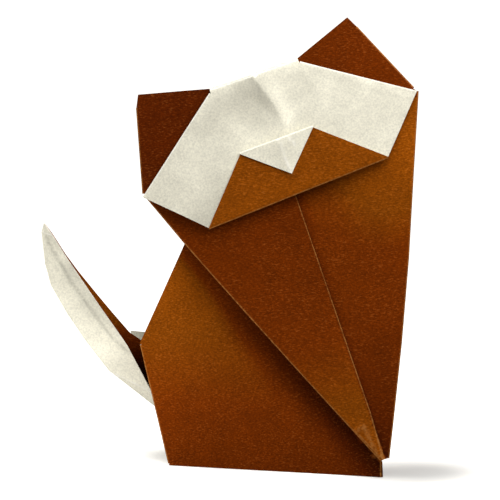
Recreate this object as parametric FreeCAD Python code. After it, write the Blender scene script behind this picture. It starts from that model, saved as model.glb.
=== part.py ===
"""Origami cat: one square sheet of two-coloured paper, folded and standing.

Frame: millimetres, +Z up. The cat faces -Y and its tail points to -X. The
origin is the middle of the bounding box's base.

The sheet is laid out first as the middle surface of the paper: flat panels
joined by creases and by rounded folds. It is then given its thickness on both
sides and closed along the cut edges, so that the whole cat is one solid.
"""
import FreeCAD, Part
import os
from math import cos, pi, radians, sin

V = FreeCAD.Vector

# ---------------------------------------------------------------- the paper
PAPER = 0.18            # thickness
LAYER = 0.55            # step from one folded layer to the next
FOLD_FACETS = 4         # flat facets in a rounded fold
HEM_RADIUS = LAYER / 2  # of the fold at a turned-in edge
HEM = 5.0               # width of a turned-in edge

# ---------------------------------------------------------------- the chest and head
# Both lie in one leaning frame. "Along" is measured up the chest's ridge from the point
# where the chest's two edges would meet, "across" to the right, "forward" to the front.
LEAN = radians(10)      # back from the vertical
TILT = radians(19)      # sideways, towards the tail
CHEST_RIGHT = 2.25      # where that point lies, from the near haunch's front foot
CHEST_FORWARD = 3.2 * LAYER
CHEST_UP = 0.2

CHEST_CUT = 4.5         # the chest ends here, where the folds turn under
CHEST_FOOT_LEFT = 1.0   # half widths at that end
CHEST_FOOT_RIGHT = 0.4
LEFT_BOW = 0.3          # the edges are pressed outward half way up
RIGHT_BOW = 1.1
RIDGE_RISE = 0.02       # the left half overlaps the right half by this share of the height
RIDGE_STEP_TOP = 0.4    # and by this step at the top of the head
RIDGE_TUCK = 0.15
RIDGE_SWING = 0.7       # the ridge's foot swings this far to the tail's side
PINCH_LEFT = 12.2       # a pinched crease crosses the left half from the edge at this height
PINCH_RIDGE = 15.5      # to the ridge at this height, where the swing starts

CHEEK_HALF = 32.5       # the cheeks are the head's widest points
CHEEK_ALONG = 78.2
RIGHT_CHEEK_OUT = 0.9   # the right cheek sits further out and higher than the left
RIGHT_CHEEK_UP = 1.0
CHEEK_OVERHANG = 0.7    # the face is wider than the chest behind it
HEAD_TOP = 95.8
HEAD_TOP_HALF = 10.2
TOP_RADIUS = 0.9        # of the soft fold at the top of the head
HEAD_SKEW = 0.0225      # the head's right side is raised by this share of the distance
FACE_SWING = 0.09       # the face stands further from the chest towards the chin
CHIN_ALONG = 67.4
CHIN_HALF = 21.6
CHIN_SHIFT = 0.85       # the chin lies this far to the right
CHIN_RISE = 1.0         # and its right corner is this far above its middle
NOSE_ALONG = 79.9
NOSE_HALF = 8.7
NOSE_TIP_ALONG = 71.8
NOSE_TIP_ACROSS = 0.8
NOSE_CREASE = 0.3       # the nose's middle crease stands forward

EAR_TIP_ALONG = 100.4
EAR_TIP_HALF = 25.0
EAR_SHIFT = -1.0        # both ear tips lie this far to the right
EAR_BLUNT = 1.3         # the ear's end is blunt: its outer corner lies further out
EAR_BLUNT_DROP = 2.6    # and lower
EAR_BACK = 1.6          # the ear tips stand back from the head
EAR_SLIT = 0.05         # gap between the ear and the head's top fold

# ---------------------------------------------------------------- the haunches
FRONT_X = -0.4          # the front foot, where the two haunches join
FRONT_HEIGHT = 3.6
FRONT_GAP = 2.2 * LAYER # from the near haunch to the far one, along the front edge
REAR_X = -48.0          # the rear feet
NEAR_SPREAD = 14.1      # how far back the near haunch's rear foot stands
FAR_SPREAD = 34.0
NEAR_RUMP_X = -54.5     # the near haunch's rear corner
NEAR_RUMP_HEIGHT = 27.5
FAR_RUMP_X = -56.8
FAR_RUMP_HEIGHT = 26.6
FAR_BACK_X = -36.0      # half way along the far haunch's upper edge
FAR_BACK_HEIGHT = 27.2
NECK_FOOT_RISE = 0.7    # the near haunch's hidden fold starts above the front edge
NECK_ACROSS = -15.2     # and ends behind the head
NECK_ALONG = 77.0
NECK_BEHIND = 2.8
SHOULDER_ACROSS = -6.7  # the far haunch's crease ends here, behind the chest
SHOULDER_ALONG = 32.5
SHOULDER_BEHIND = 5.2
NAPE_ACROSS = 2.0       # the inner corner of the layer behind the chest's right half
NAPE_ALONG = 70.0
NAPE_BEHIND = 3.6

# ---------------------------------------------------------------- the tail
TAIL_DEPTH = 26.6       # its ridge stands in this plane
TAIL_GAP = 2 * LAYER    # its wall clears the far haunch by this near the root
TAIL_OPEN_NEAR = 2.4    # the near wall stands this far forward of the ridge
TAIL_OPEN_FAR = 1.6     # and the far wall this far back
TAIL_ROOT_RIGHT = -28.6 # the tail turns up from the far haunch's bottom edge between these
TAIL_ROOT_LEFT = -37.4
# X and height of the ridge and of both cut edges, from the root to the tip
TAIL_RIDGE = [(-45.0, 7.4), (-51.8, 11.7), (-61.6, 19.5), (-67.0, 26.6),
              (-71.0, 32.6), (-74.6, 39.0), (-75.9, 44.0), (-76.7, 51.2)]
TAIL_NEAR_EDGE = [(-46.6, 10.2), (-51.9, 14.8), (-57.4, 25.6), (-60.4, 30.0),
                  (-63.6, 34.6), (-67.8, 40.8), (-70.9, 45.4), (-74.2, 50.6)]
TAIL_FAR_EDGE = [(-37.0, 10.4), (-45.0, 19.6), (-57.0, 28.0), (-60.6, 32.2),
                 (-64.4, 36.8), (-68.4, 41.8), (-71.3, 45.8), (-74.4, 50.8)]
TAIL_TIP = (-76.1, 53.2)


# ---------------------------------------------------------------- places
def board(across, along, forward=0.0):
    """A point of the chest and head, in their leaning frame."""
    x = across * cos(TILT) - along * sin(TILT)
    up = across * sin(TILT) + along * cos(TILT)
    y = up * sin(LEAN) - forward * cos(LEAN)
    z = up * cos(LEAN) + forward * sin(LEAN)
    return V(x + CHEST_RIGHT, y - CHEST_FORWARD, z + CHEST_UP)


def board_way(across, along, forward=0.0):
    """A direction in the leaning frame."""
    return board(across, along, forward) - board(0, 0)


FORWARD = board_way(0, 0, 1)
UPWARD = board_way(0, 1)


def head_point(side, half, along, forward=0.0, shift=0.0):
    """A point of the head: side is -1 at the left and +1 at the right."""
    across = side * half
    return board(across + shift, along + across * HEAD_SKEW, forward)


def face_forward(along):
    return 2 * TOP_RADIUS + (HEAD_TOP - along) * FACE_SWING


class Plane:
    """An upright plane through three points, giving Y for an X and a height."""

    def __init__(self, foot, rear, upper):
        self.foot = foot
        self.normal = (rear - foot).cross(upper - foot)

    def at(self, x, z):
        n = self.normal
        y = self.foot.y - (n.x * (x - self.foot.x) + n.z * (z - self.foot.z)) / n.y
        return V(x, y, z)


NEAR = Plane(V(FRONT_X, 0, 0), V(REAR_X, NEAR_SPREAD, 0),
             board(NECK_ACROSS, NECK_ALONG, -NECK_BEHIND))
FAR = Plane(V(FRONT_X, FRONT_GAP, 0), V(REAR_X, FAR_SPREAD, 0),
            board(SHOULDER_ACROSS, SHOULDER_ALONG, -SHOULDER_BEHIND))


def between(start, end, parts):
    """Points at even steps from start to end, both included."""
    return [start + (end - start) * (i / parts) for i in range(parts + 1)]


def part_way(start, end, *shares):
    return [start + (end - start) * share for share in shares]


# ---------------------------------------------------------------- the sheet
class Sheet:
    """The paper's middle surface, as triangles between shared corners."""

    def __init__(self):
        self.corners = []
        self.index = {}
        self.triangles = []

    def corner(self, point):
        key = (round(point.x, 4), round(point.y, 4), round(point.z, 4))
        if key not in self.index:
            self.index[key] = len(self.corners)
            self.corners.append(V(*key))
        return self.index[key]

    def triangle(self, a, b, c):
        corners = tuple(self.corner(p) for p in (a, b, c))
        if len(set(corners)) == 3:
            self.triangles.append(corners)

    def panel(self, line_a, line_b):
        """Paper between two lines of as many points; a point may be repeated."""
        for a0, a1, b0, b1 in zip(line_a, line_a[1:], line_b, line_b[1:]):
            self.triangle(a0, a1, b0)
            self.triangle(a1, b1, b0)

    def fold(self, line_a, line_b, outward, facets=FOLD_FACETS):
        """A rounded fold from line_a round to line_b, swelling to the outward side."""
        rows = []
        for step in range(facets + 1):
            angle = pi * step / facets
            row = []
            for a, b in zip(line_a, line_b):
                middle = (a + b) * 0.5
                half = (a - b) * 0.5
                row.append(middle + half * cos(angle) + outward * (half.Length * sin(angle)))
            rows.append(row)
        for row, following in zip(rows, rows[1:]):
            self.panel(row, following)

    def hem(self, edge, inward, behind):
        """An edge folded over: the turned-in strip lies behind the panel."""
        turned = [p + behind for p in edge]
        self.fold(edge, turned, inward * -1)
        run = (turned[1] - turned[0]).normalize()
        inner = [turned[0] + (inward + run) * HEM, turned[1] + (inward - run) * HEM]
        self.panel(turned, inner)

    def turn_one_way(self):
        """Order every triangle's corners so that they all face the same side of the paper."""
        by_edge = {}
        for number, triangle in enumerate(self.triangles):
            for i in range(3):
                edge = frozenset((triangle[i], triangle[(i + 1) % 3]))
                by_edge.setdefault(edge, []).append(number)
        done = {0}
        waiting = [0]
        while waiting:
            number = waiting.pop()
            a, b, c = self.triangles[number]
            for start, end in ((a, b), (b, c), (c, a)):
                for other in by_edge[frozenset((start, end))]:
                    if other in done:
                        continue
                    p, q, r = self.triangles[other]
                    if (start, end) in ((p, q), (q, r), (r, p)):
                        self.triangles[other] = (p, r, q)
                    done.add(other)
                    waiting.append(other)
        if len(done) != len(self.triangles):
            raise RuntimeError("the sheet is not one connected piece")

    def facing(self, triangle):
        a, b, c = (self.corners[i] for i in triangle)
        return (b - a).cross(c - a).normalize()

    def surfaces(self, thickness):
        """Every corner on the front and on the back of the paper."""
        around = [[] for _ in self.corners]
        for triangle in self.triangles:
            normal = self.facing(triangle)
            for corner in triangle:
                around[corner].append(normal)
        front = []
        back = []
        for corner, normals in zip(self.corners, around):
            mean = V(0, 0, 0)
            for normal in normals:
                mean = mean + normal
            mean.normalize()
            sharpest = max(0.7, min(mean.dot(normal) for normal in normals))
            offset = mean * (thickness / 2 / sharpest)
            front.append(corner + offset)
            back.append(corner - offset)
        return front, back

    def solid(self, thickness):
        """The sheet with its thickness: both sides, closed along the cut edges."""
        self.turn_one_way()
        front, back = self.surfaces(thickness)
        faces = []
        edges = set()
        for a, b, c in self.triangles:
            faces.append(flat(front[a], front[b], front[c]))
            faces.append(flat(back[a], back[c], back[b]))
            edges.update(((a, b), (b, c), (c, a)))
        for a, b in sorted(edges):
            if (b, a) not in edges:
                faces.append(flat(front[b], front[a], back[a]))
                faces.append(flat(front[b], back[a], back[b]))
        shell = Part.Shell(faces)
        shell.sewShape()
        solid = Part.Solid(Part.Shell(shell.Faces))
        if solid.Volume < 0:
            solid.reverse()
        return solid


def flat(a, b, c):
    return Part.Face(Part.makePolygon([a, b, c, a]))


# ---------------------------------------------------------------- chest and head
def chest_edge(side, along):
    """The chest's left (-1) or right (+1) edge at one height."""
    run = (along - CHEST_CUT) / (CHEEK_ALONG - CHEST_CUT)
    foot = CHEST_FOOT_RIGHT if side > 0 else -CHEST_FOOT_LEFT
    cheek = side * (CHEEK_HALF - LAYER / 2)
    bow = RIGHT_BOW if side > 0 else -LEFT_BOW
    return board(foot + run * (cheek - foot) + bow * sin(pi * run), along)


def ridge_across(along):
    """The ridge runs straight up, but its foot swings to the tail's side."""
    return -RIDGE_SWING * max(0.0, (PINCH_RIDGE - along) / (PINCH_RIDGE - CHEST_CUT))


def add_chest(sheet):
    """Two panels with a stepped ridge between them, up to the top of the head."""
    height = CHEEK_ALONG - CHEST_CUT
    levels = [CHEST_CUT + height * share for share in (0, 0.1, 0.32, 0.56, 0.8, 1)]
    levels[1] = PINCH_LEFT
    ridge_levels = levels[:]
    ridge_levels[1] = PINCH_RIDGE
    top = HEAD_TOP - TOP_RADIUS
    left = [chest_edge(-1, along) for along in levels]
    right = [chest_edge(1, along) for along in levels]
    left[-1] = board(CHEEK_OVERHANG - CHEEK_HALF, CHEEK_ALONG)
    right[-1] = board(CHEEK_HALF + RIGHT_CHEEK_OUT, CHEEK_ALONG + 2 * RIGHT_CHEEK_UP)
    left.append(board(-HEAD_TOP_HALF, top))
    right.append(board(HEAD_TOP_HALF, top))
    crest = [board(ridge_across(along), along, RIDGE_TUCK + RIDGE_RISE * along)
             for along in ridge_levels]
    foot = [board(ridge_across(along) + RIDGE_TUCK, along) for along in ridge_levels]
    crest.append(board(0, top, RIDGE_STEP_TOP))
    foot.append(board(2 * RIDGE_TUCK, top))
    sheet.panel(left, crest)
    sheet.panel(crest, foot)
    sheet.panel(foot, right)
    return left, crest, foot, right


def square_inward(start, end, inside):
    """The way from the line start-end towards the point inside, square to the line."""
    run = (end - start).normalize()
    way = inside - start
    return (way - run * way.dot(run)).normalize()


def add_ear(sheet, side, chest_corner, top_corner):
    """The paper that stands up behind the face, with its outer edge turned in."""
    root = head_point(side, CHEEK_HALF, CHEEK_ALONG)
    if side > 0:
        root = chest_corner
    tip = head_point(side, EAR_TIP_HALF, EAR_TIP_ALONG, -EAR_BACK, EAR_SHIFT)
    corner = head_point(side, EAR_TIP_HALF + EAR_BLUNT, EAR_TIP_ALONG - EAR_BLUNT_DROP,
                        -EAR_BACK, EAR_SHIFT)
    inward = square_inward(root, corner, top_corner)
    hemmed = [p + inward * HEM_RADIUS for p in part_way(root, corner, 0.05, 0.998)]
    inner_top = board(side * (HEAD_TOP_HALF + EAR_SLIT), HEAD_TOP)
    outline = [chest_corner] + hemmed + [corner, tip, inner_top]
    sheet.panel(outline, [top_corner] * len(outline))
    sheet.hem(hemmed, inward, FORWARD * -LAYER)


def add_face(sheet, top_line):
    """The white face, bent softly forward over the top of the head."""
    top = HEAD_TOP - TOP_RADIUS
    brow = HEAD_TOP_HALF + HEM_RADIUS
    columns = (-brow, 0, 2 * RIDGE_TUCK, brow)
    head_row = [board(across, top, face_forward(top)) for across in columns]
    sheet.fold(top_line, head_row, UPWARD, 2 + FOLD_FACETS)

    right_half = CHEEK_HALF + RIGHT_CHEEK_OUT - HEM_RADIUS
    right_along = CHEEK_ALONG + RIGHT_CHEEK_UP
    cheeks = (head_point(-1, CHEEK_HALF - HEM_RADIUS, CHEEK_ALONG, face_forward(CHEEK_ALONG)),
              head_point(1, right_half, right_along, face_forward(right_along)))
    chin = [board(CHIN_SHIFT + side * CHIN_HALF, CHIN_ALONG + side * CHIN_RISE,
                  face_forward(CHIN_ALONG)) for side in (-1, 1)]
    starts = [part_way(head_row[i] + board_way(way * HEM_RADIUS, 0), cheek, 0.015)[0]
              for i, way, cheek in zip((0, -1), (1, -1), cheeks)]
    rows = [head_row]
    for left, right in (starts, cheeks, chin):
        rows.append(part_way(left, right, 0, 0.5, 0.51, 1))
    for row, following in zip(rows, rows[1:]):
        sheet.panel(row, following)
    for start, cheek, corner in zip(starts, cheeks, chin):
        sheet.hem([start, cheek], square_inward(start, cheek, corner), FORWARD * -LAYER)
    return rows[-1]


def add_muzzle(sheet, chin_row):
    """The brown muzzle folded up from the chin, and the white nose folded down from it."""
    step = FORWARD * LAYER
    muzzle_low = [p + step for p in chin_row]
    sheet.fold(chin_row, muzzle_low, UPWARD * -1)
    nose_l, nose_r = [head_point(side, NOSE_HALF, NOSE_ALONG, face_forward(NOSE_ALONG) + LAYER)
                      for side in (-1, 1)]
    muzzle_high = part_way(nose_l, nose_r, 0, 0.5, 0.51, 1)
    muzzle_high[1:3] = [p + FORWARD * NOSE_CREASE for p in muzzle_high[1:3]]
    sheet.panel(muzzle_low, muzzle_high)
    nose_high = [p + step for p in muzzle_high]
    sheet.fold(muzzle_high, nose_high, UPWARD)
    tip = board(NOSE_TIP_ACROSS, NOSE_TIP_ALONG, face_forward(NOSE_TIP_ALONG) + 2 * LAYER)
    sheet.panel(nose_high, [tip] * len(nose_high))


# ---------------------------------------------------------------- haunches
def turn_under(sheet, side, edge):
    """Fold one of the chest's edges back behind it; returns the hidden layer's line."""
    outward = board_way(side * (CHEEK_ALONG - CHEST_CUT), -CHEEK_HALF).normalize()
    hidden = [p - FORWARD * LAYER for p in edge]
    sheet.fold(edge, hidden, outward)
    return hidden


def add_near_haunch(sheet, chest_left):
    """Chest edge, hidden layer, hidden fold, and the haunch that shows beside the chest."""
    hidden = turn_under(sheet, -1, chest_left[:-1])
    neck_top = board(NECK_ACROSS, NECK_ALONG)
    neck = between(NEAR.at(-FRONT_X, FRONT_HEIGHT + NECK_FOOT_RISE),
                   NEAR.at(neck_top.x, neck_top.z), len(hidden) - 1)
    crimp = [p + FORWARD * LAYER for p in neck]
    sheet.panel(hidden, crimp)
    sheet.fold(crimp, neck, board_way(1, 0))

    rump = NEAR.at(NEAR_RUMP_X, NEAR_RUMP_HEIGHT)
    rear_foot = NEAR.at(REAR_X, 0)
    front_edge = [NEAR.at(FRONT_X, 0), NEAR.at(FRONT_X, FRONT_HEIGHT)]
    inward = square_inward(rear_foot, rump, front_edge[1])
    rear_edge = part_way(rear_foot, rump, 0, 0.015, 0.985, 1)
    rear_edge[1:3] = [p + inward * HEM_RADIUS for p in rear_edge[1:3]]
    cut_edge = part_way(rump, neck[-1], 0.25, 0.5, 0.75, 0.98)
    sheet.panel(front_edge + neck, rear_edge + cut_edge)
    sheet.hem(rear_edge[1:3], inward, V(0, LAYER, 0))
    return front_edge


def add_far_haunch(sheet, chest_right, near_front):
    """The far haunch, joined at the front edge and to the chest's right edge."""
    front_edge = [FAR.at(FRONT_X, 0), FAR.at(FRONT_X, FRONT_HEIGHT)]
    sheet.fold(near_front, front_edge, V(0.7, 0, 0))
    shoulder_place = board(SHOULDER_ACROSS, SHOULDER_ALONG)
    shoulder = FAR.at(shoulder_place.x, shoulder_place.z)
    back = FAR.at(FAR_BACK_X, FAR_BACK_HEIGHT)
    rump = FAR.at(FAR_RUMP_X, FAR_RUMP_HEIGHT)
    lift = LAYER / 2
    root = [FAR.at(TAIL_ROOT_RIGHT, lift), FAR.at(TAIL_ROOT_LEFT, lift)]
    beside = [FAR.at(TAIL_ROOT_RIGHT + 2 * lift, 0), FAR.at(TAIL_ROOT_LEFT - 2 * lift, 0)]
    low = [front_edge[0], beside[0], root[0], root[1], beside[1], FAR.at(REAR_X, 0)]
    sheet.panel(low, [front_edge[1], shoulder, shoulder, back, back, rump])

    hidden = turn_under(sheet, 1, chest_right[:-1])
    nape = board(NAPE_ACROSS, NAPE_ALONG, -NAPE_BEHIND)
    sheet.panel(hidden, [front_edge[1]] + between(shoulder, nape, len(hidden) - 2))
    return root


# ---------------------------------------------------------------- tail
def add_tail(sheet, root):
    """A narrow trough with its ridge below, turned up from the far haunch's bottom edge."""
    turned = [p - V(0, LAYER, 0) for p in root]
    sheet.fold(root, turned, V(0, 0, -1))
    far = [turned[0]]
    ridge = [turned[1]]
    near = [(turned[1] + V(TAIL_RIDGE[0][0], turned[1].y, TAIL_RIDGE[0][1])) * 0.5]
    count = len(TAIL_RIDGE)
    for i in range(count):
        swell = sin(pi * (0.2 + 0.7 * i / count))
        x, z = TAIL_RIDGE[i]
        ridge.append(V(x, min(TAIL_DEPTH, FAR.at(x, z).y - TAIL_GAP), z))
        x, z = TAIL_FAR_EDGE[i]
        opened = TAIL_DEPTH + TAIL_OPEN_FAR * swell
        far.append(V(x, min(opened, FAR.at(x, z).y - TAIL_GAP), z))
        x, z = TAIL_NEAR_EDGE[i]
        near.append(V(x, ridge[-1].y - TAIL_OPEN_NEAR * swell, z))
    tip = V(TAIL_TIP[0], TAIL_DEPTH, TAIL_TIP[1])
    sheet.panel(ridge + [tip], far + [tip])
    sheet.panel(ridge + [tip], near + [tip])


# ---------------------------------------------------------------- the cat
def lay_out():
    """The whole sheet's middle surface."""
    sheet = Sheet()
    left, crest, foot, right = add_chest(sheet)
    add_ear(sheet, -1, left[-2], left[-1])
    add_ear(sheet, 1, right[-2], right[-1])
    chin_row = add_face(sheet, [left[-1], crest[-1], foot[-1], right[-1]])
    add_muzzle(sheet, chin_row)
    near_front = add_near_haunch(sheet, left)
    root = add_far_haunch(sheet, right, near_front)
    add_tail(sheet, root)
    return sheet


def make_cat():
    cat = lay_out().solid(PAPER)
    box = cat.BoundBox
    cat.translate(V(-(box.XMin + box.XMax) / 2, -(box.YMin + box.YMax) / 2, -box.ZMin))
    return cat


os.makedirs("parts", exist_ok=True)
cat = make_cat()
print("valid", cat.isValid(), "volume", round(cat.Volume, 1), "faces", len(cat.Faces), cat.BoundBox)
cat.exportStep("parts/folded_sheet.step")
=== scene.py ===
"""Looks of the folded paper cat.

The CAD sheet is copied, split into its brown side, its white side and its cut edges,
given finer triangles, and pressed a little out of flat the way paper is after use.
Some shade and light on both sides is painted into the paper's colour.
Settings and the stage are in metres. What shapes the sheet works in millimetres.
"""
from math import cos, degrees, pi, radians, sin

import bmesh
import bpy
import numpy as np
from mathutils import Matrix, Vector
from mathutils.bvhtree import BVHTree
from mathutils.kdtree import KDTree


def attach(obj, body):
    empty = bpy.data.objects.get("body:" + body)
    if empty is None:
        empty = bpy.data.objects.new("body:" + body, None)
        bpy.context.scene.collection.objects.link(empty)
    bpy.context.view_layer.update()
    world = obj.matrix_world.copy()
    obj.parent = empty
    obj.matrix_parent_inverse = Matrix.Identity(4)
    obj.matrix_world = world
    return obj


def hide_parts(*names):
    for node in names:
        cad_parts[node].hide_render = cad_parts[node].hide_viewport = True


bl_info = {
    "name": "Folded paper cat",
    "version": (1, 0, 0),
    "blender": (4, 5, 0),
    "location": "View3D > Sidebar > Paper cat",
    "description": "Builds the paper looks of a folded cat and the studio it stands in",
    "category": "Object",
}

MM = 0.001

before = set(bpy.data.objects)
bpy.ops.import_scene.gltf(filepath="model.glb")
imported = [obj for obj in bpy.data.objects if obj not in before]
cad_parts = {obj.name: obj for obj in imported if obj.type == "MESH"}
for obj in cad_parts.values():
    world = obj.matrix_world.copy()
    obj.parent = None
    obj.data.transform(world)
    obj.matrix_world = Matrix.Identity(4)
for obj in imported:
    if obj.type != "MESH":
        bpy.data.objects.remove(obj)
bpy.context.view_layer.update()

# The leaning frame of the chest and head, as in the part's source, in millimetres:
# across to the right, along up the chest's ridge, forward to the front.
BOARD_ORIGIN = np.array((36.615, -19.796, 0.31))
BOARD_AXES = np.array(((0.94552, 0.05653, 0.32062),
                       (-0.32557, 0.16419, 0.93115),
                       (0.0, -0.98481, 0.17365)))

# The face in that frame: about its half width at places along, and how far forward it
# stands, as in the part's source.
FACE_HEIGHTS = (66, 79, 96)
FACE_HALVES = (22, 33, 10.4)
FACE_TOP = 95.8
FACE_FORWARD = 1.8
FACE_SWING = 0.09

# The near haunch's plane, and its rear edge as X and height.
HAUNCH_FOOT = np.array((33.965, -18.036, 0.11))
HAUNCH_NORMAL = np.array((0.2839, 0.9585, -0.0271))
HAUNCH_REAR = ((-10.0, 51.4), (-20.1, 27.8), (-13.8, 0.0))

BROWN, WHITE, CUT = range(3)

# Creases pressed in after folding, as lines in the leaning frame (across, along).
FACE_RIDGE = ((-0.5, 95.7), (0.6, 92.3), (1.9, 88.4), (2.4, 84.4))
NOSE_PINCH = ((2.8, 79.7), (3.7, 77.6))
NOSE_MIDDLE = ((0.5, 80.3), (0.8, 71.8))
MUZZLE_LEFT = ((-20.7, 66.4), (-8.3, 79.3))
CHEST_PINCH = ((-4.9, 12.3), (-2.4, 13.0), (-1.5, 5.0))
# The hem of the face's right cheek, in the same frame.
CHEEK_HEM = ((10.4, 95.8), (33.0, 79.0))
# The tail's lengthwise crease, as X and height.
TAIL_CREASE = ((-41.4, 50.1), (-35.7, 40.1), (-30.2, 32.3), (-26.6, 27.5), (-23.0, 24.4))
# The plane that the tail's ridge stands in, as Y.
TAIL_PLANE = 8.57

# How the mesh is read and refined, in millimetres and degrees.
WELD = 0.004            # split corners of the CAD mesh lie closer than this
SKIN = 0.002            # a ray through the paper starts this far under its face
NARROW = 0.34           # a triangle lower than this is on a rounded fold or a cut edge
LAYERS_BEHIND = 0.3     # the paper's far side lies within this
SAMPLE_STEP = 0.3       # between the points that stand for a fold line
BESIDE_FOLD = 0.7       # facets are fine within this of a fold
BESIDE_CREASE = 0.8     # and finer still within this of a late crease
REFINE_ROUNDS = 12
SHARP = 60              # a bend from here up is a cut edge or a sharp fold
ROUNDED_STEP = 6        # narrow facets that turn more than this belong to a rounded fold
PANEL_FOLD = 16         # wide panels that turn more than this meet at a fold
CREASE = (6, 20)        # bends between these are drawn as creases
FAR = 9.0               # fold distance given to points on no side

# The stage, in metres. The floor's glow holds back near the chest's foot and in an oval
# beside the near haunch, turned about Z, so the floor's shadow there is partly painted shadow.
SOFTBOX_AIM = Vector((0, -0.01, 0.04))
TAIL_MIDDLE = Vector((-0.026, 0.008, 0.024))
SHADE_MIDDLE = Vector((0.043, -0.012, 0))
HAUNCH_MIDDLE = Vector((0.002, 0.004, 0))
HAUNCH_TURN = radians(-16.5)
HAUNCH_OVAL = (24 * MM, 14 * MM, 1)
GLOW = 0.95             # of the floor away from the cat, added for the camera only
FLOOR_HALF = 6.0
CARD_SIZE = 0.03
SENSOR = 36.0           # in mm
FIELD = 112.5 * MM      # what the camera takes in at the cat
CAMERA_AIM = Vector((4.645, 0, 48.676)) * MM
FAR_CLIP = 60


def linear(hex_colour):
    """An sRGB colour written as hex digits, as a linear RGB triple."""
    values = [int(hex_colour[i:i + 2], 16) / 255 for i in (0, 2, 4)]
    return tuple(v / 12.92 if v <= 0.04045 else ((v + 0.055) / 1.055) ** 2.4 for v in values)


# ---------------------------------------------------------------- settings
class PaperSettings(bpy.types.PropertyGroup):
    brown: bpy.props.FloatVectorProperty(
        name="Brown side", description="Colour of the printed side", subtype="COLOR",
        size=3, min=0, max=1, default=linear("854205"))
    white: bpy.props.FloatVectorProperty(
        name="White side", description="Colour of the bare side", subtype="COLOR",
        size=3, min=0, max=1, default=linear("ebe6d2"))
    fold_mark: bpy.props.FloatVectorProperty(
        name="Worn fold", description="Colour where the print has cracked along a fold",
        subtype="COLOR", size=3, min=0, max=1, default=linear("b8793c"))
    facet: bpy.props.FloatProperty(
        name="Facet size", description="Longest triangle edge of the refined sheet",
        subtype="DISTANCE", unit="LENGTH", default=1.7 * MM, min=0.4 * MM)
    fine_facet: bpy.props.FloatProperty(
        name="Fine facet size", description="Longest triangle edge close to a fold",
        subtype="DISTANCE", unit="LENGTH", default=0.95 * MM, min=0.3 * MM)
    bulge: bpy.props.FloatProperty(
        name="Face bulge", description="How far the face stands out between its hems",
        subtype="DISTANCE", unit="LENGTH", default=0.8 * MM, min=0)
    waver: bpy.props.FloatProperty(
        name="Waver", description="How far the panels are from flat through handling",
        subtype="DISTANCE", unit="LENGTH", default=0.12 * MM, min=0)


class StageSettings(bpy.types.PropertyGroup):
    floor: bpy.props.FloatVectorProperty(
        name="Floor", description="Colour of the floor", subtype="COLOR",
        size=3, min=0, max=1, default=linear("e4e2de"))
    sky: bpy.props.FloatProperty(
        name="Surround", description="Brightness of the even light from all round",
        default=0.31, min=0)
    front: bpy.props.FloatProperty(
        name="Front softbox", description="Power of the high front softbox, in watts",
        default=0.357, min=0)
    front_place: bpy.props.FloatVectorProperty(
        name="Front softbox place", description="Middle of the front softbox",
        subtype="XYZ", unit="LENGTH", size=3, default=(0.07, -0.155, 0.205))
    top: bpy.props.FloatProperty(
        name="Top softbox", description="Power of the softbox overhead, in watts",
        default=0.31, min=0)
    top_place: bpy.props.FloatVectorProperty(
        name="Top softbox place", description="Middle of the softbox overhead",
        subtype="XYZ", unit="LENGTH", size=3, default=(-0.05, 0.01, 0.27))
    card: bpy.props.FloatProperty(
        name="Side card", description="Power of the small light beside the tail, in watts",
        default=0.019, min=0)
    card_place: bpy.props.FloatVectorProperty(
        name="Side card place", description="Middle of the small light beside the tail",
        subtype="XYZ", unit="LENGTH", size=3, default=(-0.06, -0.032, 0.014))
    softbox: bpy.props.FloatProperty(
        name="Softbox size", description="Side of each square softbox",
        subtype="DISTANCE", unit="LENGTH", default=0.16, min=0.01)
    bounce: bpy.props.FloatProperty(
        name="Floor bounce", description="Share of its light that the floor throws back up",
        default=0.4, min=0, max=1)
    elevation: bpy.props.FloatProperty(
        name="Camera height angle", description="Angle of the camera above the horizon",
        subtype="ANGLE", unit="ROTATION", default=radians(10))
    distance: bpy.props.FloatProperty(
        name="Camera distance", description="From the camera to the cat",
        subtype="DISTANCE", unit="LENGTH", default=3.0)


# ---------------------------------------------------------------- the sheet
def welded_copy(source):
    """The CAD sheet's mesh with its split corners joined, in the frame's coordinates."""
    bm = bmesh.new()
    bm.from_mesh(source.data)
    bm.transform(source.matrix_world)
    bmesh.ops.remove_doubles(bm, verts=bm.verts, dist=WELD * MM)
    bmesh.ops.triangulate(bm, faces=bm.faces)
    bm.normal_update()
    for seq in (bm.verts, bm.edges, bm.faces):
        seq.ensure_lookup_table()
    return bm


def is_narrow(face):
    """True for the facets of rounded folds and for cut edges."""
    return 2 * face.calc_area() / max(e.calc_length() for e in face.edges) < NARROW * MM


def connected(bm):
    """Groups of triangles that lie on one side of the paper, the largest first.

    A wide triangle joins any wide neighbour, across however sharp a crease. A narrow one
    joins a neighbour only where the bend is slight, so a cut edge stays on its own."""
    narrow = {face: is_narrow(face) for face in bm.faces}
    waiting = set(bm.faces)
    groups = []
    for seed in bm.faces:
        if seed not in waiting:
            continue
        waiting.remove(seed)
        stack = [seed]
        group = []
        while stack:
            face = stack.pop()
            group.append(face)
            for edge in face.edges:
                for other in edge.link_faces:
                    slight = edge.calc_face_angle(0) < radians(SHARP)
                    if other in waiting and (slight or not (narrow[face] or narrow[other])):
                        waiting.remove(other)
                        stack.append(other)
        groups.append((sum(f.calc_area() for f in group), len(groups), group))
    groups.sort(reverse=True)
    return [group for _, _, group in groups if not all(narrow[f] for f in group)]


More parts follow.
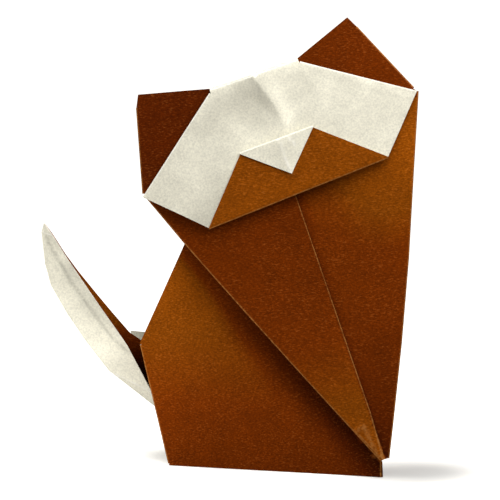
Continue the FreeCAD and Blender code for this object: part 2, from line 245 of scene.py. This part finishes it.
def mark_sides(bm, layer):
    """Write each triangle's side of the paper into the face layer."""
    for face in bm.faces:
        face[layer] = CUT
    tree = BVHTree.FromBMesh(bm)
    # the chest's front shows the brown side
    chest = (BOARD_ORIGIN + 40 * BOARD_AXES[1] - 6 * BOARD_AXES[0] + 20 * BOARD_AXES[2]) * MM
    seen = tree.ray_cast(Vector(chest), -Vector(BOARD_AXES[2]))
    groups = connected(bm)
    first, second = groups[:2]
    brown_first = bm.faces[seen[2]] in set(first)
    for group, side in ((first, BROWN if brown_first else WHITE),
                        (second, WHITE if brown_first else BROWN)):
        for face in group:
            face[layer] = side
    # smaller groups show the other colour than the paper's far side behind them
    for group in groups[2:]:
        behind = []
        for face in group:
            start = face.calc_center_median() - face.normal * SKIN * MM
            hit = tree.ray_cast(start, -face.normal, LAYERS_BEHIND * MM)
            if hit[0] is not None:
                behind.append(bm.faces[hit[2]][layer])
        side = WHITE if behind.count(BROWN) > behind.count(WHITE) else BROWN
        for face in group:
            face[layer] = side


def fold_lines(bm, layer):
    """The outward folds on each side of the paper, as arrays of line ends in mm."""
    lines = {BROWN: [], WHITE: []}
    for edge in bm.edges:
        if len(edge.link_faces) != 2:
            continue
        one, two = edge.link_faces
        side = one[layer]
        if side == CUT or two[layer] != side:
            continue
        narrow = [is_narrow(f) for f in (one, two)]
        angle = degrees(edge.calc_face_angle_signed(0))
        least = ROUNDED_STEP if all(narrow) else PANEL_FOLD
        if angle > least and (all(narrow) or not any(narrow)):
            lines[side].append([tuple(v.co / MM) for v in edge.verts])
    return {side: np.array(ends).reshape(-1, 2, 3) for side, ends in lines.items()}


def distance_to(points, lines):
    """Each point's distance to the nearest of the lines, in mm."""
    if not len(lines):
        return np.full(len(points), 99.0)
    start = lines[:, 0]
    way = lines[:, 1] - start
    length2 = (way ** 2).sum(1)
    counts = np.ceil(np.sqrt(length2) / SAMPLE_STEP).astype(int) + 1
    owners = np.repeat(np.arange(len(lines)), counts)
    firsts = np.cumsum(counts) - counts
    shares = (np.arange(len(owners)) - firsts[owners]) / (counts[owners] - 1)
    samples = KDTree(len(owners))
    for number, place in enumerate(start[owners] + shares[:, None] * way[owners]):
        samples.insert(place, number)
    samples.balance()
    chosen = owners[[samples.find(point)[1] for point in points]]
    gap = points - start[chosen]
    run = np.clip((gap * way[chosen]).sum(1) / length2[chosen], 0, 1)
    return np.linalg.norm(gap - run[:, None] * way[chosen], axis=1)


def on_late_crease(points, reach):
    """Whether points lie within reach of a crease pressed in after folding."""
    across, along, forward = board_places(points)
    x, y, z = points.T
    found = np.zeros(len(points), bool)
    for line, u, v, side in ((FACE_RIDGE, across, along, forward > 1.4),
                             (NOSE_MIDDLE, across, along, forward > 3.9),
                             (NOSE_PINCH, across, along, forward > 3.9),
                             (CHEST_PINCH, across, along, np.abs(forward) < 1.4),
                             (TAIL_CREASE, x, z, (x < -16) & (y < TAIL_PLANE))):
        gap = line_offsets(u, v, line)[1]
        found |= side & (gap < np.maximum(BESIDE_CREASE, reach))
    return found


def refine(bm, lines, coarse, fine):
    """Split every long edge until no triangle edge is longer than its limit."""
    every = np.concatenate(list(lines.values()))
    for _ in range(REFINE_ROUNDS):
        open_edges = [e for e in bm.edges if e.calc_length() > fine]
        if not open_edges:
            break
        middles = np.array([((e.verts[0].co + e.verts[1].co) / 2 / MM)[:] for e in open_edges])
        lengths = np.array([e.calc_length() for e in open_edges])
        near = distance_to(middles, every) < np.maximum(BESIDE_FOLD, lengths / MM / 2)
        limit = np.where(near, fine, coarse)
        limit = np.where(on_late_crease(middles, lengths / MM / 2), 0.5 * fine, limit)
        long_edges = [e for e, much in zip(open_edges, lengths > limit) if much]
        if not long_edges:
            break
        bmesh.ops.subdivide_edges(bm, edges=long_edges, cuts=1)
        bmesh.ops.triangulate(bm, faces=[f for f in bm.faces if len(f.verts) > 3])
        bm.edges.ensure_lookup_table()


def smooth_step(value, low, high):
    t = np.clip((value - low) / (high - low), 0, 1)
    return t * t * (3 - 2 * t)


def board_places(points):
    """Across, along and forward of points given in mm."""
    return ((points - BOARD_ORIGIN) @ BOARD_AXES.T).T


def face_front(along):
    """How far forward the face's middle surface stands, as in the part's source."""
    return FACE_FORWARD + FACE_SWING * (FACE_TOP - along)


def face_share(along, forward):
    """1 on the face and all that is folded onto it, 0 on the chest behind."""
    ahead_of_chest = forward - 0.6 - 0.075 * (96 - along)
    return smooth_step(ahead_of_chest, 0.0, 0.6) * smooth_step(along, 60, 66)


def chest_share(forward, on_face):
    """1 on the chest's front layer, 0 on the face and on what lies behind."""
    return smooth_step(forward, -1.7, -1.0) * (1 - on_face)


def chest_half(along):
    """Half the chest's width at a place up its ridge."""
    return 0.5 + 0.4 * along


def beside_chest(across, along):
    """Distance to the left of the chest's left edge."""
    return (-across - chest_half(along)) / 1.077


def haunch_offset(points):
    """Distance behind the near haunch's plane."""
    return (points - HAUNCH_FOOT) @ HAUNCH_NORMAL


def tail_front(points):
    """Whether points lie on the near wall of the tail, clear of its root."""
    x, y, z = points.T
    return (x < -16) & (y < TAIL_PLANE) & (y > 5) & (z < 52.5)


def line_offsets(u, v, line):
    """Along-line share, distance and side of plane points to a line of a few points."""
    best = np.full(len(u), 1e9)
    share = np.zeros(len(u))
    side = np.zeros(len(u))
    pieces = list(zip(line, line[1:]))
    for number, ((u0, v0), (u1, v1)) in enumerate(pieces):
        du, dv = u1 - u0, v1 - v0
        run = np.clip(((u - u0) * du + (v - v0) * dv) / (du * du + dv * dv), 0, 1)
        gap = np.hypot(u - u0 - run * du, v - v0 - run * dv)
        turn = (u - u0) * dv - (v - v0) * du
        closer = gap < best
        best = np.where(closer, gap, best)
        share = np.where(closer, (number + run) / len(pieces), share)
        side = np.where(closer, np.sign(turn), side)
    return share, best, side


def face_relief(across, along, bulge):
    """How far the face moves forward: its swell, its ridge, its dent and its curled chin."""
    # it swells between its hems and its top fold
    half = np.interp(along, FACE_HEIGHTS, FACE_HALVES)
    room = np.clip(1 - (across / half) ** 2, 0, 1)
    height = np.clip((96.4 - along) / 29, 0, 1)
    swell = (1 - np.exp(-height / 0.05)) * (1 - height) ** 0.7
    ahead = bulge * room ** 0.5 * swell

    # a ridge runs down it from the pucker at its top fold, steeper on its left
    share, gap, side = line_offsets(across, along, FACE_RIDGE)
    width = np.where(side > 0, 0.8 + 4.4 * (1 - share), 1.2 + 3.8 * (1 - share))
    crest = np.clip(1 - gap / width, 0, 1) * (1 - share) ** 0.9
    ahead += 1.7 * crest * smooth_step(96.9 - along, 0.0, 0.8)

    # a shallow dent lies to the left of the ridge
    ahead -= np.exp(-((across + 5.5) / 6.0) ** 2 - ((along - 86.0) / 4.6) ** 2)

    # the chin's left corner curls back
    share, gap, _ = line_offsets(across, along, MUZZLE_LEFT)
    return ahead - 1.5 * np.exp(-gap / 3.0) * (1 - share) ** 1.5


def nose_relief(across, along):
    """How far the nose moves forward at its creases, and the painted highlight along them."""
    _, gap, _ = line_offsets(across, along, NOSE_MIDDLE)
    ahead = 0.45 * np.clip(1 - gap / 2.4, 0, 1) * smooth_step(81.2 - along, 0.0, 1.5)
    fold_mark = np.exp(-(gap / 0.25) ** 2)
    _, gap, _ = line_offsets(across, along, NOSE_PINCH)
    mark = np.exp(-(gap / 0.25) ** 2)
    return ahead + 0.12 * mark, np.maximum(fold_mark, mark)


def chest_relief(across, along):
    """How far the chest's front layer moves forward, and the mark along its pinch: worn print
    and a painted highlight.
    """
    # its panels bow between ridge and edges, the left one out and the right one in
    half = chest_half(np.clip(along, 0, 80))
    left_run = np.clip(-across / half, 0, 1)
    right_run = np.clip(across / half, 0, 1)
    up = np.sin(pi * np.clip((along - 6) / 72, 0, 1))
    ahead = up * (0.55 * np.sin(pi * left_run) - 0.6 * np.sin(pi * right_run))

    # a short pinch where its left panel runs out at the foot
    _, gap, _ = line_offsets(across, along, CHEST_PINCH)
    left = across < 0
    ahead += 0.3 * left * np.exp(-gap / 0.7)
    return ahead, 0.7 * left * np.exp(-(gap / 0.35) ** 2)


def cheek_reach(across, along, forward):
    """How far the chest's right half stands forward, up to the face's cheek."""
    cheek = smooth_step(across, 3, 26) * smooth_step(along, 42, 74)
    cheek = cheek * (1 - smooth_step(along, 78, 84))
    return 1.8 * cheek * (1 - smooth_step(forward, 0.8, 1.6)) * smooth_step(forward, -1.7, -1.0)


def haunch_fall(points, across, along, forward):
    """How far the near haunch falls back beside the chest's edge."""
    x, _, z = points.T
    _, rear, _ = line_offsets(x, z, HAUNCH_REAR)
    dent = 1 - smooth_step(beside_chest(across, along), 0, 11)
    dent = dent * smooth_step(HAUNCH_FOOT[0] - x, 4, 18) * smooth_step(rear, 1, 10)
    dent = dent * np.exp(-(haunch_offset(points) / 0.9) ** 2)
    return 1.2 * dent * smooth_step(-forward, 1.2, 1.7)


def tail_relief(points):
    """How far the near wall of the tail moves forward at its lengthwise crease."""
    share, gap, _ = line_offsets(points[:, 0], points[:, 2], TAIL_CREASE)
    return 0.7 * np.exp(-gap / 1.3) * smooth_step(share, 0.0, 0.12) * tail_front(points)


def handled_wave(points):
    """A low waver over the whole sheet, still at the floor."""
    x, _, z = points.T
    wave = np.sin(x / 5.3 + z / 9.1 + 0.7) * np.sin(z / 6.7 - x / 13 + 1.9)
    wave = wave + 0.6 * np.sin(x / 3.1 - z / 4.3 + 0.3) * np.sin(z / 3.9 + x / 8.3)
    return wave * smooth_step(z, 0.0, 6.0)


def pressed(points, settings):
    """The points moved the way a used sheet bends, and the marks of late creases on each:
    a painted highlight on the nose, worn print and a painted highlight at the chest's pinch.
    """
    across, along, forward = board_places(points)
    on_face = face_share(along, forward)
    on_nose = on_face * (forward > face_front(along) + 0.75)
    on_chest = chest_share(forward, on_face)
    nose_ahead, nose_painted_highlight = nose_relief(across, along)
    chest_ahead, chest_pinch_mark = chest_relief(across, along)

    ahead = on_face * face_relief(across, along, settings.bulge / MM) + on_nose * nose_ahead
    ahead += on_chest * chest_ahead + cheek_reach(across, along, forward)
    moved = points + ahead[:, None] * BOARD_AXES[2]
    moved += haunch_fall(points, across, along, forward)[:, None] * HAUNCH_NORMAL
    moved[:, 1] += settings.waver / MM * handled_wave(points) - tail_relief(points)
    return moved, np.maximum(on_nose * nose_painted_highlight, on_chest * chest_pinch_mark)


def white_painted_shading(points):
    """Brightness painted on the white side, 1 plain.

    It stands in for soft shade and light beside the later creases, and its amounts are given
    one by one."""
    x, y, z = points.T
    across, along, forward = board_places(points)
    on_face = face_share(along, forward)
    # the face: painted shade on a broad patch left of the ridge and on the ridge's left side,
    # a painted highlight on its right side, painted shade by the muzzle and the cheek hem
    painted_shading = 1 - 0.1 * on_face * np.exp(-((across + 7) / 10) ** 2 - ((along - 91) / 6) ** 2)
    share, gap, side = line_offsets(across, along, FACE_RIDGE)
    left = side > 0
    painted_shading -= 0.2 * on_face * left * np.exp(-((gap - 0.5) / 1.5) ** 2) * (1 - share)
    bright = np.exp(-((gap - 1.4) / 1.7) ** 2) * smooth_step(share, 0.2, 0.7)
    painted_shading += 0.27 * on_face * ~left * bright
    share, gap, _ = line_offsets(across, along, MUZZLE_LEFT)
    painted_shading -= 0.2 * on_face * np.exp(-gap / 2.2) * (1 - share)
    share, gap, _ = line_offsets(across, along, CHEEK_HEM)
    painted_shading -= 0.1 * on_face * np.exp(-((gap - 1.4) / 0.7) ** 2) * share ** 0.5
    # the tail: painted shade on the crease itself and on the strip on its right
    share, gap, side = line_offsets(x, z, TAIL_CREASE)
    right = tail_front(points) & (side < 0)
    painted_shading -= 0.13 * right * smooth_step(share, 0.0, 0.2) * (1 - smooth_step(share, 0.9, 1.0))
    painted_shading -= 0.3 * tail_front(points) * np.exp(-(gap / 0.35) ** 2)
    # painted light: the tail's foot is drawn lighter
    low = (x < -8) & (y < TAIL_PLANE) & (y > 2)
    return painted_shading + 0.17 * low * smooth_step(34 - z, 0, 8)


def chest_tone(across, along):
    """Painted shade and painted light on the chest: deep below the head, at the right foot and
    beside the ridge, paler at its left foot and its right edge.
    """
    left = np.interp(along, (5, 25, 45, 70), (1.24, 0.89, 0.68, 0.64))
    right = np.interp(along, (5, 20, 45, 70), (0.36, 0.6, 0.74, 0.9))
    right = right * (1 + 0.6 * smooth_step(across, 5, 20) * smooth_step(along, 42, 76))
    right = right * (1 - 0.4 * np.exp(-np.clip(across, 0, 99) / 0.9))
    return np.where(across > -0.2, right, left)


def haunch_tone(height, gap):
    """Painted light and shade on the near haunch: paler to its top, with a painted shadow band
    by the chest's edge.
    """
    tone = np.interp(height, (0, 14, 30, 45), (0.62, 0.79, 1.0, 1.42))
    return tone * (1 - 0.62 * np.exp(-(np.clip(gap, 0, 99) / 4.5) ** 2))


def brown_painted_shading(points):
    """Painted shade and painted light on the brown side, 0 nearly black and 1 plain.

    It stands in for shade that the stage doesn't give panel by panel, and its amounts are given
    one by one."""
    x, y, z = points.T
    across, along, forward = board_places(points)
    on_face = face_share(along, forward)
    on_chest = chest_share(forward, on_face) > 0.5
    clear_of_chest = across < 0.8 - chest_half(np.clip(along, 0, 80))
    on_haunch = (np.abs(haunch_offset(points)) < 0.5) & clear_of_chest
    tone = np.full(len(points), 0.9)
    tone = np.where(on_haunch, haunch_tone(z, beside_chest(across, along)), tone)
    tone = np.where(on_chest & ~on_haunch, chest_tone(across, along), tone)
    tone = np.where(on_face > 0.3, 1.0, tone)
    # painted shade: deep inside the tail it is darkest
    hollow = smooth_step(-x, 7, 12) * ((y > 6) & (y < 10.8) & (z < 52))
    tone += hollow * (np.interp(z, (20, 26, 32), (0.12, 0.45, 1.25)) - tone)
    # painted shade: the ears are drawn darker, the left one more
    on_ear = smooth_step(along, 78, 80) * (1 - smooth_step(forward, 0.6, 1.2)) > 0.5
    return np.where(on_ear, np.where(across < 0, 0.4, 0.58), tone)


class CAT_OT_sheet(bpy.types.Operator):
    """Builds the paper sheet over the CAD node"""
    bl_idname = "paper_cat.sheet"
    bl_label = "Paper sheet"

    def execute(self, context):
        settings = context.scene.paper_cat_paper
        bm = welded_copy(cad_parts["folded_sheet"])
        layer = bm.faces.layers.int.new("side")
        mark_sides(bm, layer)
        lines = fold_lines(bm, layer)
        rough = 1.0
        refine(bm, lines, settings.facet * rough, settings.fine_facet * rough)
        bm.verts.ensure_lookup_table()
        bm.normal_update()

        points = np.array([v.co[:] for v in bm.verts]) / MM
        sides = np.array([min((f[layer] for f in v.link_faces), default=CUT) for v in bm.verts])
        fold = np.full(len(points), FAR)
        for side in (BROWN, WHITE):
            chosen = sides == side
            fold[chosen] = distance_to(points[chosen], lines[side])
        for edge in bm.edges:
            one, two = edge.link_faces[0], edge.link_faces[-1]
            turn = degrees(edge.calc_face_angle(0))
            creased = CREASE[0] < turn < CREASE[1] or turn >= SHARP
            edge.smooth = one[layer] == two[layer] and not creased
        moved, fold_mark = pressed(points, settings)
        for vert, place in zip(bm.verts, moved):
            vert.co = Vector(place) * MM
        for face in bm.faces:
            face.smooth = True
            face.material_index = face[layer]

        mesh = bpy.data.meshes.new("paper_sheet")
        bm.to_mesh(mesh)
        bm.free()
        for name, values in (("fold_mm", fold), ("pinched", fold_mark),
                             ("brown_painted_shading", brown_painted_shading(points)),
                             ("painted_shading", white_painted_shading(points))):
            attribute = mesh.attributes.new(name, "FLOAT", "POINT")
            attribute.data.foreach_set("value", values.astype(np.float32))
        for material in (brown_paper(settings), white_paper(settings), cut_paper()):
            mesh.materials.append(material)
        sheet = bpy.data.objects.new("paper_sheet", mesh)
        context.scene.collection.objects.link(sheet)
        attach(sheet, "root")
        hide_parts("folded_sheet")
        return {"FINISHED"}


# ---------------------------------------------------------------- materials
def add(tree, kind, settings=None, links=None):
    """A node with its settings and its input links."""
    node = tree.nodes.new(kind)
    for name, value in (settings or {}).items():
        if isinstance(name, str) and hasattr(node, name):
            setattr(node, name, value)
        else:
            node.inputs[name].default_value = value
    for name, socket in (links or {}).items():
        tree.links.new(socket, node.inputs[name])
    return node


def new_material(name):
    """An empty material with its output node."""
    material = bpy.data.materials.new(name)
    material.use_nodes = True
    tree = material.node_tree
    tree.nodes.clear()
    return material, tree, add(tree, "ShaderNodeOutputMaterial")


def ramp(tree, factor, stops):
    """A colour ramp from (position, colour) stops."""
    node = add(tree, "ShaderNodeValToRGB", links={"Fac": factor})
    points = node.color_ramp.elements
    while len(points) < len(stops):
        points.new(0.5)
    for point, (place, colour) in zip(points, stops):
        point.position = place
        point.color = (*colour, 1)
    return node.outputs["Color"]


def grey(value):
    return (value, value, value)


def scaled(colour, share):
    return tuple(min(1, c * share) for c in colour)


def mm_coordinates(tree):
    """Object coordinates in millimetres."""
    place = add(tree, "ShaderNodeTexCoord")
    return add(tree, "ShaderNodeVectorMath", {"operation": "SCALE", "Scale": 1000.0},
               {0: place.outputs["Object"]}).outputs["Vector"]


def noise(tree, vector, scale, detail=2.0, stretch=None, turn=(0, 0, 0), roughness=0.5):
    """Noise whose scale is in features per millimetre."""
    if stretch:
        vector = add(tree, "ShaderNodeMapping", {"Rotation": turn, "Scale": stretch},
                     {"Vector": vector}).outputs["Vector"]
    return add(tree, "ShaderNodeTexNoise", {"Scale": scale, "Detail": detail,
               "Roughness": roughness}, {"Vector": vector}).outputs["Fac"]


def mixed(tree, factor, a, b, blend="MIX"):
    """Colours a and b mixed; each is a socket or a plain colour."""
    node = add(tree, "ShaderNodeMix", {"data_type": "RGBA", "blend_type": blend})
    for number, value in ((0, factor), (6, a), (7, b)):
        if isinstance(value, bpy.types.NodeSocket):
            tree.links.new(value, node.inputs[number])
        else:
            node.inputs[number].default_value = value if number == 0 else (*value, 1)
    return node.outputs[2]


def fold_mark_share(tree, coords, reach):
    """How strong the fold mark is: 1 on a fold's line, broken up by fine noise.
    It is cracked print on the brown side and a painted highlight on the white side.
    """
    fold = add(tree, "ShaderNodeAttribute", {"attribute_name": "fold_mm"}).outputs["Fac"]
    pinched = add(tree, "ShaderNodeAttribute", {"attribute_name": "pinched"}).outputs["Fac"]
    on_line = add(tree, "ShaderNodeMapRange", {1: 0.02, 2: reach, 3: 1.0, 4: 0.0},
                  {0: fold}).outputs["Result"]
    both = add(tree, "ShaderNodeMath", {"operation": "MAXIMUM"},
               {0: on_line, 1: pinched}).outputs["Value"]
    speckle = noise(tree, coords, 1.6, 4.0)
    broken = add(tree, "ShaderNodeMapRange", {1: 0.35, 2: 0.6, 3: 0.25, 4: 1.0},
                 {0: speckle}).outputs["Result"]
    return add(tree, "ShaderNodeMath", {"operation": "MULTIPLY"},
               {0: both, 1: broken}).outputs["Value"]


def brown_paper(settings):
    """Printed kraft paper, uncoated: short fibres show as fine light and dark streaks."""
    material, tree, output = new_material("kraft_paper_printed_brown")
    coords = mm_coordinates(tree)
    # cloudy print, a few mm across
    cloud = noise(tree, coords, 0.13, 3.0)
    # fibres about 1.3 mm by 0.3 mm, drawn a little thicker than real ones, lying two ways
    rising = noise(tree, coords, 1.3, 2.0, stretch=(1.1, 3.2, 3.2), turn=(0, radians(-30), 0))
    falling = noise(tree, coords, 1.3, 2.0, stretch=(1.1, 3.2, 3.2), turn=(0, radians(50), 0))
    which = add(tree, "ShaderNodeMapRange", {1: 0.45, 2: 0.55},
                {0: noise(tree, coords, 0.09, 1.0)}).outputs["Result"]
    fibre = add(tree, "ShaderNodeMix", links={0: which, 2: rising, 3: falling}).outputs[0]
    grain = noise(tree, coords, 3.0, 1.0)
    red, green, blue = settings.brown
    # painted shade and painted light: a per-point tone darkens the brown, deeper and redder, or
    # pales it
    printed = add(tree, "ShaderNodeAttribute", {"attribute_name": "brown_painted_shading"}).outputs["Fac"]
    half = add(tree, "ShaderNodeMath", {"operation": "MULTIPLY", 1: 0.5},
               {0: printed}).outputs["Value"]
    shaded_brown = ramp(tree, half, ((0.05, (red * 0.05, green * 0.03, blue * 0.02)),
                              (0.2, (red * 0.4, green * 0.24, blue * 0.2)),
                              (0.4, (red * 0.8, green * 0.56, blue * 0.4)),
                              (0.5, (red, green, blue)),
                              (0.7, (red * 1.4, green * 1.4, blue * 1.4))))
    clouds = ramp(tree, cloud, ((0.3, grey(0.9)), (0.7, grey(1.1))))
    tone = mixed(tree, 1.0, shaded_brown, clouds, "MULTIPLY")
    streak = ramp(tree, fibre, ((0.34, grey(0.6)), (0.5, grey(0.96)), (0.68, grey(1.6))))
    tone = mixed(tree, 0.6, tone, streak, "MULTIPLY")
    speck = ramp(tree, grain, ((0.35, grey(0.7)), (0.65, grey(1.3))))
    tone = mixed(tree, 0.45, tone, speck, "MULTIPLY")
    # bare fibres show through here and there
    bare = add(tree, "ShaderNodeMapRange", {1: 0.58, 2: 0.72, 3: 0.0, 4: 0.16},
               {0: fibre}).outputs["Result"]
    tone = mixed(tree, bare, tone, tuple(settings.fold_mark))
    # cracked print along the folds, and at the chest's pinch worn print and a painted highlight
    fold_mark = fold_mark_share(tree, coords, 0.28)
    tone = mixed(tree, fold_mark, tone, tuple(settings.fold_mark))
    relief = add(tree, "ShaderNodeBump", {"Strength": 0.3, "Distance": 0.00003},
                 {"Height": fibre}).outputs["Normal"]
    surface = add(tree, "ShaderNodeBsdfPrincipled",
                  {"Roughness": 0.9, "IOR": 1.45, "Specular IOR Level": 0.03},
                  {"Base Color": tone, "Normal": relief})
    tree.links.new(surface.outputs[0], output.inputs["Surface"])
    return material


def white_paper(settings):
    """Uncoated paper, bare pulp side: soft mottling and a dull finish."""
    material, tree, output = new_material("uncoated_paper_off_white")
    coords = mm_coordinates(tree)
    # clouds of pulp a few mm across, and fibres about 0.4 mm
    cloud = noise(tree, coords, 0.16, 5.0, roughness=0.6)
    grain = noise(tree, coords, 2.4, 3.0)
    base = tuple(settings.white)
    tone = ramp(tree, cloud, ((0.34, scaled(base, 0.87)), (0.64, scaled(base, 1.04))))
    speck = ramp(tree, grain, ((0.3, grey(0.82)), (0.66, grey(1.08))))
    tone = mixed(tree, 0.85, tone, speck, "MULTIPLY")
    # painted shade and painted highlights on the white side, carried by a per-point attribute
    painted_shading_factor = add(tree, "ShaderNodeAttribute", {"attribute_name": "painted_shading"}).outputs["Fac"]
    tone = mixed(tree, 1.0, tone, painted_shading_factor, "MULTIPLY")
    # painted highlight: along its folds and the nose's creases the white side is drawn lighter
    fold_mark = fold_mark_share(tree, coords, 0.22)
    tone = mixed(tree, fold_mark, tone, linear("fffbee"))
    crumple = add(tree, "ShaderNodeBump", {"Strength": 0.5, "Distance": 0.00012},
                  {"Height": noise(tree, coords, 0.45, 3.0)}).outputs["Normal"]
    surface = add(tree, "ShaderNodeBsdfPrincipled",
                  {"Roughness": 0.8, "IOR": 1.45, "Specular IOR Level": 0.2},
                  {"Base Color": tone, "Normal": crumple})
    tree.links.new(surface.outputs[0], output.inputs["Surface"])
    return material


def cut_paper():
    """Knife-cut paper edge: bare pulp, which shows as a pale line."""
    material, tree, output = new_material("uncoated_paper_cut_edge")
    surface = add(tree, "ShaderNodeBsdfPrincipled",
                  {"Base Color": (*linear("fff3e4"), 1), "Roughness": 0.85,
                   "Specular IOR Level": 0.2})
    tree.links.new(surface.outputs[0], output.inputs["Surface"])
    return material


def backdrop_paper(settings):
    """Matte white backdrop paper.

    For the camera only, it also glows to an even white away from the cat's feet. How far
    the glow holds back is given, so the soft shadow isn't from the lights alone."""
    material, tree, output = new_material("matte_white_backdrop_paper")
    place = add(tree, "ShaderNodeTexCoord").outputs["Object"]
    # painted shadow: within a set reach of a point by the chest's foot the glow holds back
    reach = add(tree, "ShaderNodeVectorMath", {"operation": "DISTANCE", 1: SHADE_MIDDLE},
                {0: place}).outputs["Value"]
    lift = add(tree, "ShaderNodeMapRange", {"interpolation_type": "SMOOTHSTEP",
               1: 3 * MM, 2: 25 * MM, 3: 0.0, 4: GLOW},
               {0: reach}).outputs["Result"]
    # painted shadow: close to the haunch's lower edge the glow holds back too, over an oval
    oval = add(tree, "ShaderNodeMapping", {"vector_type": "TEXTURE", "Location": HAUNCH_MIDDLE,
               "Rotation": (0, 0, HAUNCH_TURN), "Scale": HAUNCH_OVAL},
               {"Vector": place}).outputs["Vector"]
    off = add(tree, "ShaderNodeVectorMath", {"operation": "LENGTH"},
              {0: oval}).outputs["Value"]
    beside = add(tree, "ShaderNodeMapRange", {"interpolation_type": "SMOOTHSTEP",
                 1: 0.5, 2: 1.3, 3: 0.12, 4: GLOW}, {0: off}).outputs["Result"]
    lift = add(tree, "ShaderNodeMath", {"operation": "MINIMUM"},
               {0: lift, 1: beside}).outputs["Value"]
    # the camera sees the glow and the floor's whole colour, the cat only its bounce
    seen = add(tree, "ShaderNodeLightPath").outputs["Is Camera Ray"]
    strength = add(tree, "ShaderNodeMath", {"operation": "MULTIPLY"},
                   {0: lift, 1: seen}).outputs["Value"]
    tone = mixed(tree, seen, scaled(settings.floor, settings.bounce), tuple(settings.floor))
    surface = add(tree, "ShaderNodeBsdfDiffuse", links={"Color": tone})
    glow = add(tree, "ShaderNodeEmission", {"Color": (1, 0.98, 0.93, 1)},
               {"Strength": strength})
    both = add(tree, "ShaderNodeAddShader", links={0: surface.outputs[0], 1: glow.outputs[0]})
    tree.links.new(both.outputs[0], output.inputs["Surface"])
    return material


# ---------------------------------------------------------------- the stage
class CAT_OT_stage(bpy.types.Operator):
    """Builds the white floor, the soft light and the camera"""
    bl_idname = "paper_cat.stage"
    bl_label = "Studio"

    def execute(self, context):
        scene = context.scene
        settings = scene.paper_cat_stage
        mesh = bpy.data.meshes.new("floor")
        corners = [(x * FLOOR_HALF, y * FLOOR_HALF, 0)
                   for x, y in ((-1, -1), (1, -1), (1, 1), (-1, 1))]
        mesh.from_pydata(corners, [], [(0, 1, 2, 3)])
        floor = bpy.data.objects.new("floor", mesh)
        scene.collection.objects.link(floor)
        mesh.materials.append(backdrop_paper(settings))

        world = bpy.data.worlds.new("studio_surround")
        world.use_nodes = True
        background = world.node_tree.nodes["Background"]
        background.inputs["Color"].default_value = (1, 1, 1, 1)
        background.inputs["Strength"].default_value = settings.sky
        scene.world = world

        for name, power, place, size, aim in (
                ("front_softbox", settings.front, settings.front_place,
                 settings.softbox, SOFTBOX_AIM),
                ("top_softbox", settings.top, settings.top_place,
                 settings.softbox, SOFTBOX_AIM),
                ("side_card", settings.card, settings.card_place,
                 CARD_SIZE, TAIL_MIDDLE)):
            light = bpy.data.lights.new(name, "AREA")
            light.energy = power
            light.size = size
            lamp = bpy.data.objects.new(name, light)
            lamp.location = place
            lamp.rotation_euler = (lamp.location - aim).to_track_quat("Z", "Y").to_euler()
            lamp.visible_camera = False
            scene.collection.objects.link(lamp)

        camera = bpy.data.cameras.new("camera")
        camera.sensor_width = SENSOR
        camera.lens = SENSOR * settings.distance / FIELD
        camera.clip_end = FAR_CLIP
        eye = bpy.data.objects.new("camera", camera)
        back = Vector((0, -cos(settings.elevation), sin(settings.elevation)))
        eye.location = CAMERA_AIM + back * settings.distance
        eye.rotation_euler = back.to_track_quat("Z", "Y").to_euler()
        scene.collection.objects.link(eye)
        scene.camera = eye
        scene.view_settings.view_transform = "Standard"
        return {"FINISHED"}


class CAT_PT_panel(bpy.types.Panel):
    """Lists the operators and their settings"""
    bl_idname = "CAT_PT_panel"
    bl_label = "Paper cat"
    bl_space_type = "VIEW_3D"
    bl_region_type = "UI"
    bl_category = "Paper cat"

    def draw(self, context):
        for group, operator in (("paper_cat_paper", CAT_OT_sheet),
                                ("paper_cat_stage", CAT_OT_stage)):
            box = self.layout.box()
            settings = getattr(context.scene, group)
            for name in settings.bl_rna.properties.keys():
                if name not in ("rna_type", "name"):
                    box.prop(settings, name)
            box.operator(operator.bl_idname)


CLASSES = (PaperSettings, StageSettings, CAT_OT_sheet, CAT_OT_stage, CAT_PT_panel)


def register():
    for cls in CLASSES:
        bpy.utils.register_class(cls)
    bpy.types.Scene.paper_cat_paper = bpy.props.PointerProperty(type=PaperSettings)
    bpy.types.Scene.paper_cat_stage = bpy.props.PointerProperty(type=StageSettings)


def unregister():
    del bpy.types.Scene.paper_cat_stage
    del bpy.types.Scene.paper_cat_paper
    for cls in reversed(CLASSES):
        bpy.utils.unregister_class(cls)


def main():
    register()
    bpy.ops.paper_cat.sheet()
    bpy.ops.paper_cat.stage()


if __name__ == "__main__":
    main()
